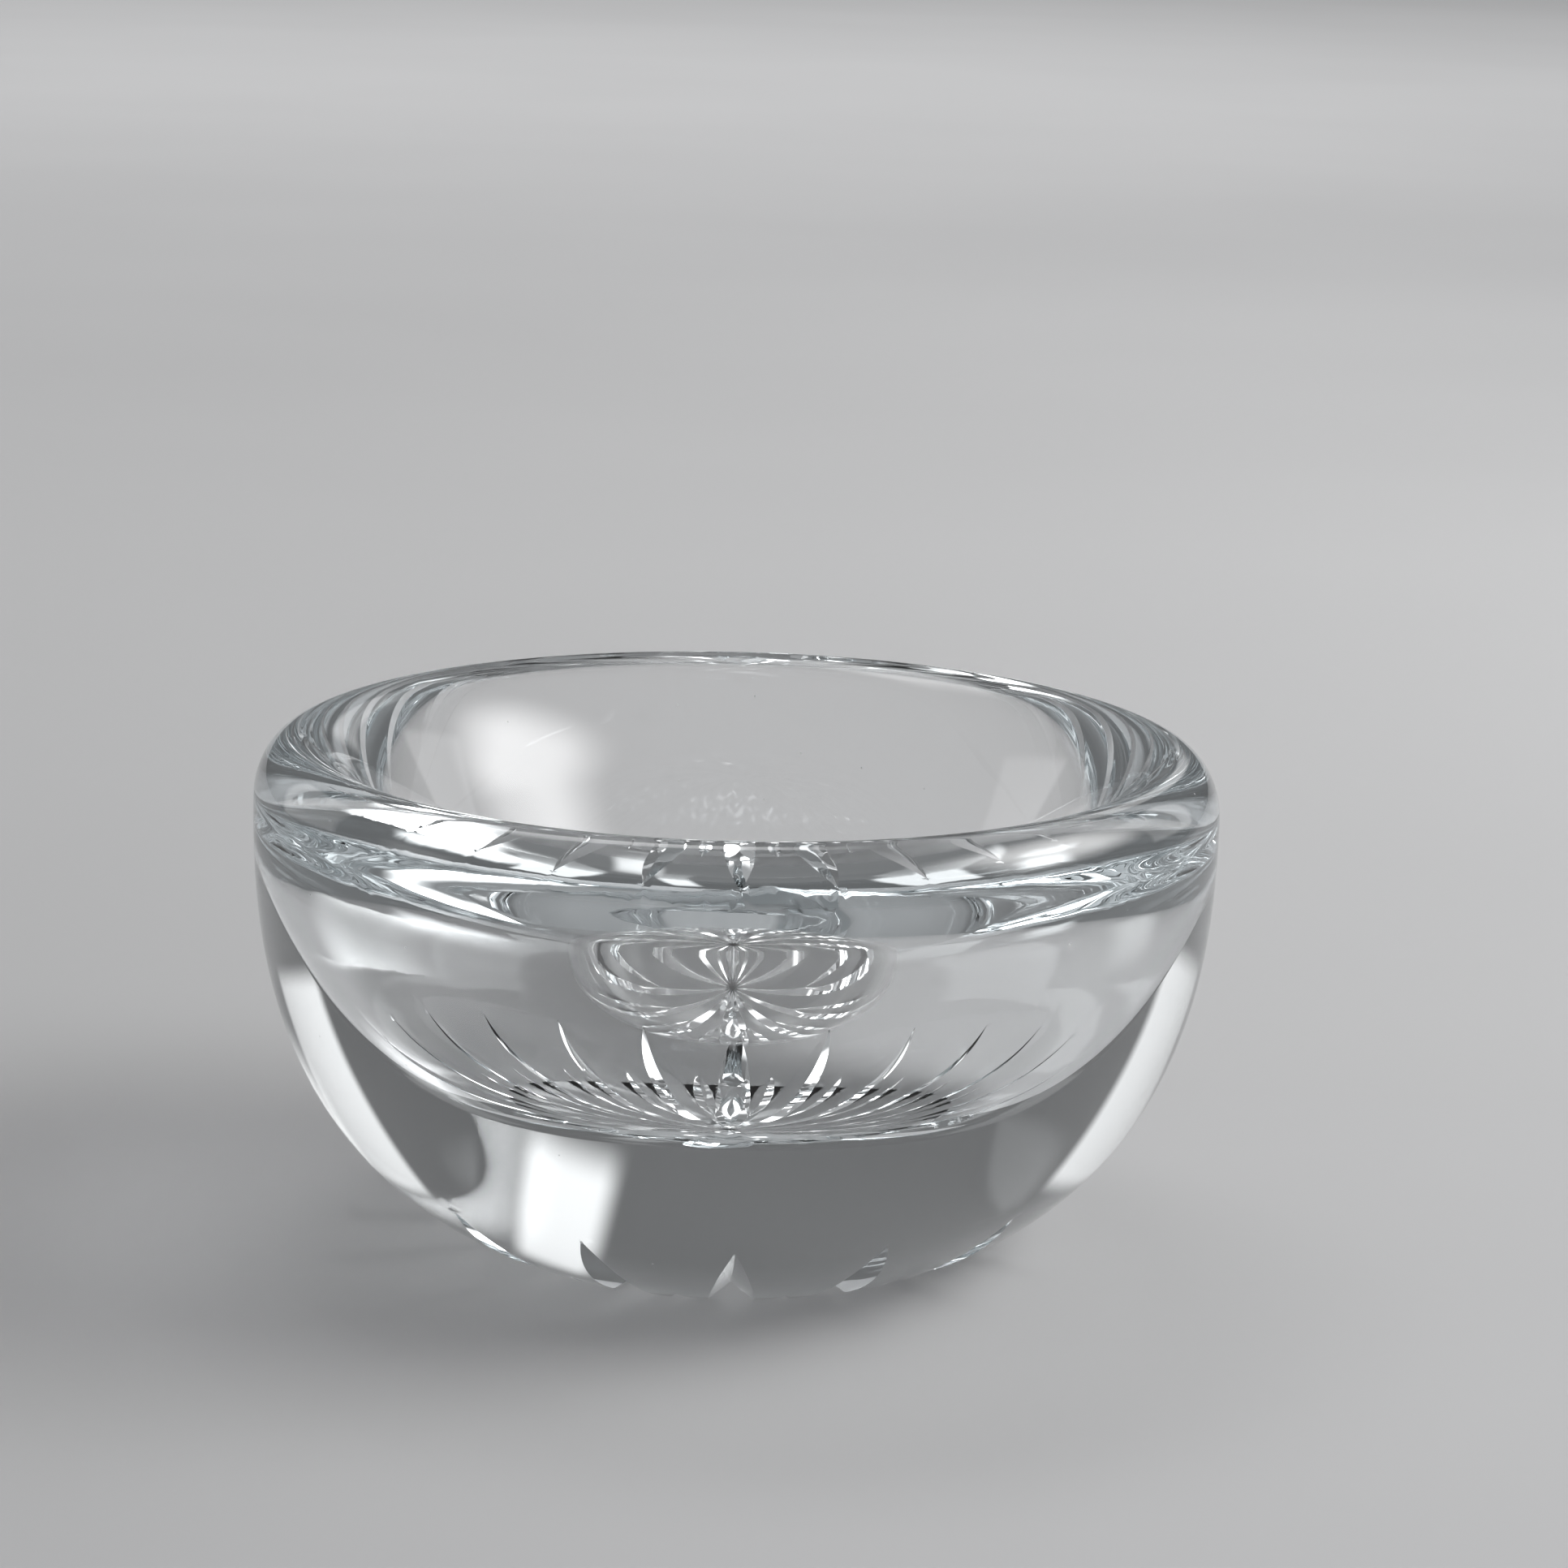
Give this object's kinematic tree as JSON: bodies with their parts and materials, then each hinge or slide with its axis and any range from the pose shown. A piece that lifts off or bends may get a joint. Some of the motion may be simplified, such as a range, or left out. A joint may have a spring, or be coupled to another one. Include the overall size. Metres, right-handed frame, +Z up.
{
  "type": "glass bowl",
  "caption": "Small heavy bowl of clear crystal glass with a thick rounded rim, a deep conical hollow, a solid floor and a star of mitre cuts under the foot.",
  "frame": {"origin": "centre of the flat underside, on the surface that the bowl stands on", "axes": "+Z up along the bowl's axis; the picture looks along +Y with +X to the right"},
  "size_m": [0.12, 0.12, 0.063],
  "materials": {
    "crystal": "clear, fire-polished and hand-polished, with faint wear under the foot"
  },
  "bodies": {
    "root": {"bowl": "crystal"}
  },
  "joints": []
}
